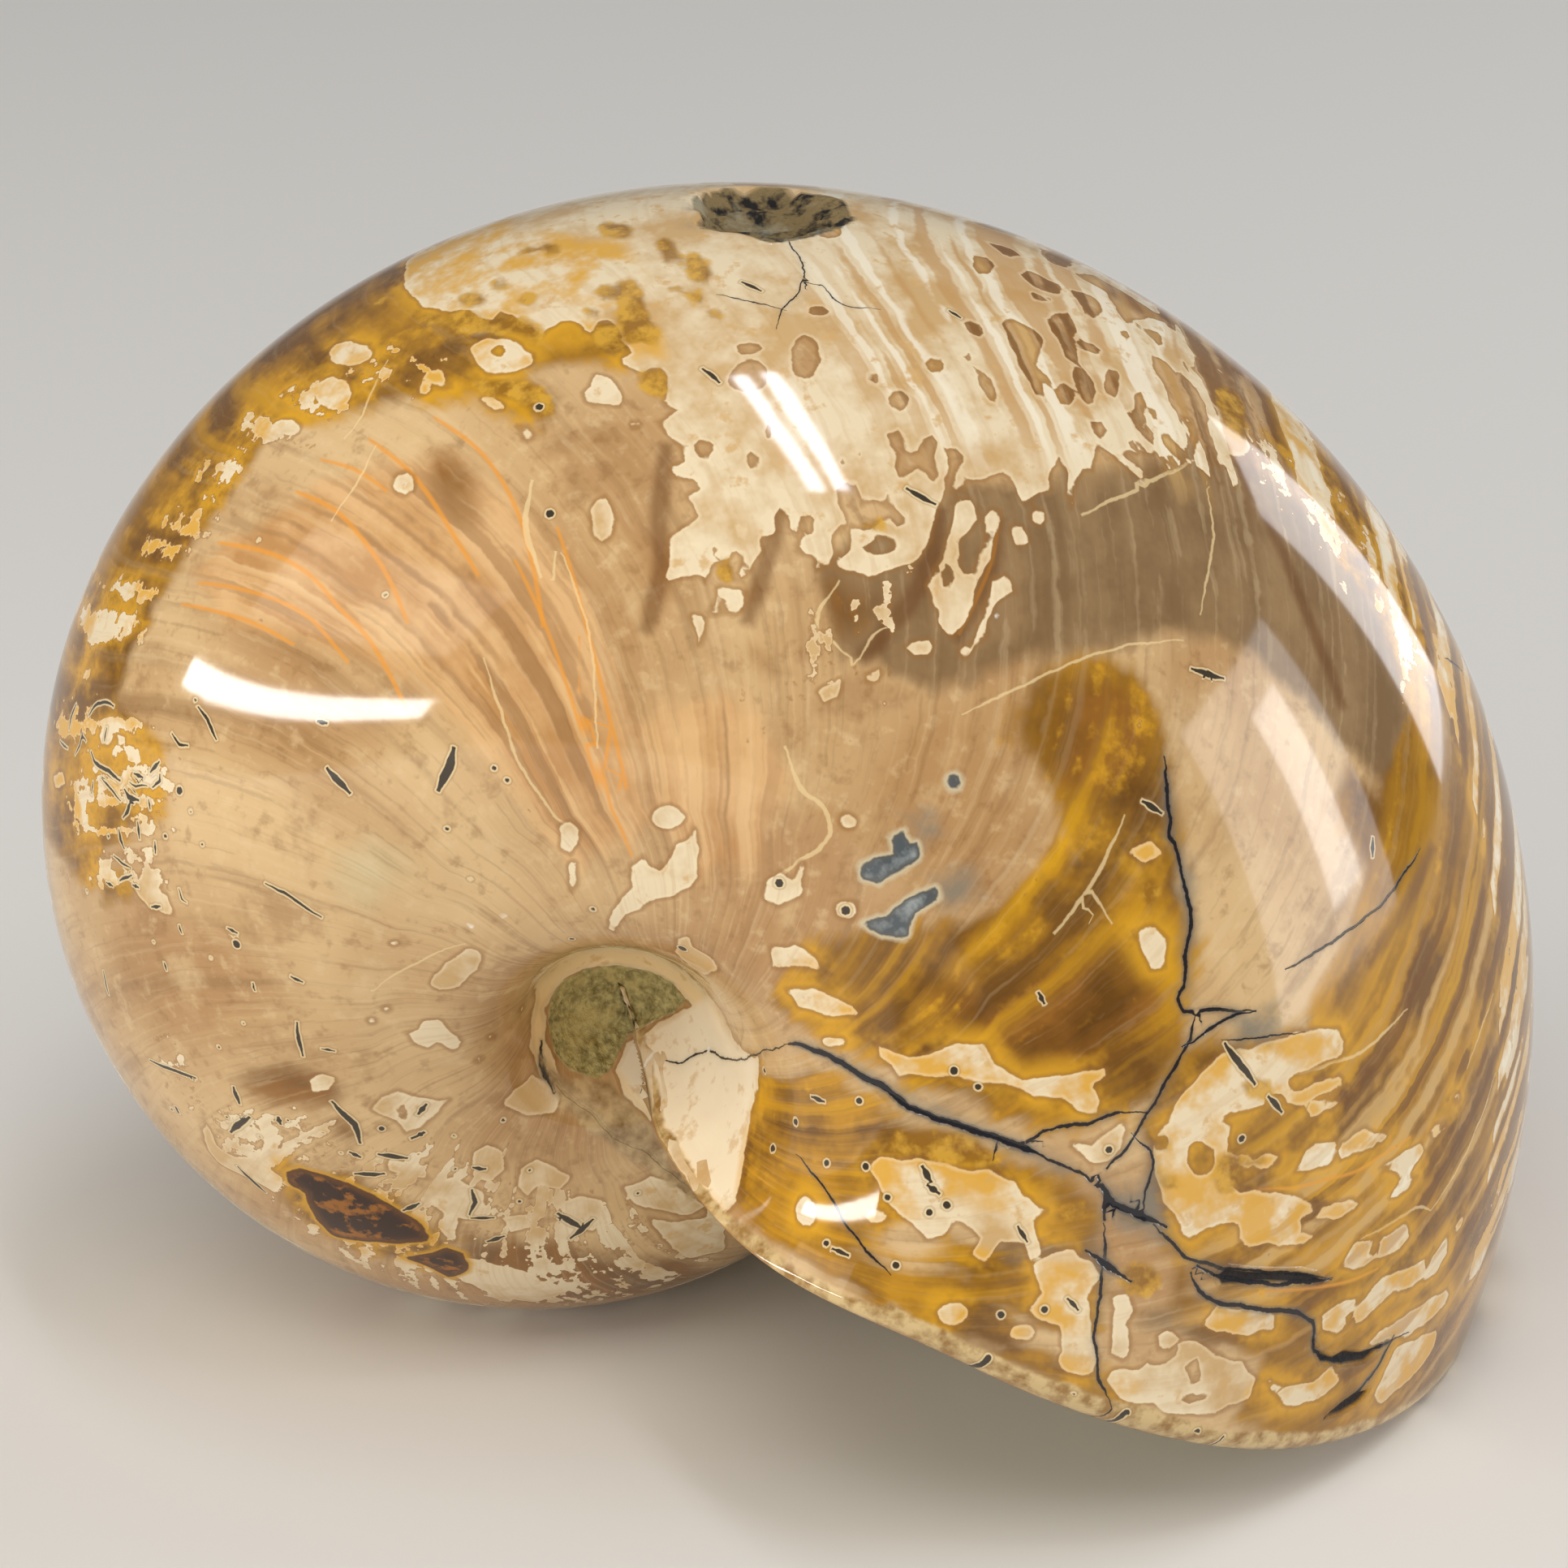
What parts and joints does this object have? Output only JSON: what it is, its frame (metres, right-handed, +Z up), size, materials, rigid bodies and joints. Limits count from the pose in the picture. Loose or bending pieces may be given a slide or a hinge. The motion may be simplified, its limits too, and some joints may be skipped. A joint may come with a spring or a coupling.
{
  "type": "fossil nautilus",
  "caption": "Polished fossil nautilus shell: a swollen coiled whorl filled with stone, open rocky umbilical pockets, rolled lip, resting on small ground flats.",
  "frame": {"origin": "on the surface that the fossil rests on, under the middle of its outer box", "axes": "+X along the length, towards the lip; +Y along the coil axis, away from the near flank; +Z up"},
  "size_m": [0.1498, 0.124, 0.1153],
  "materials": {
    "polished_fossil": "gloss polished"
  },
  "bodies": {
    "root": {"nautilus": "polished_fossil"}
  },
  "joints": []
}
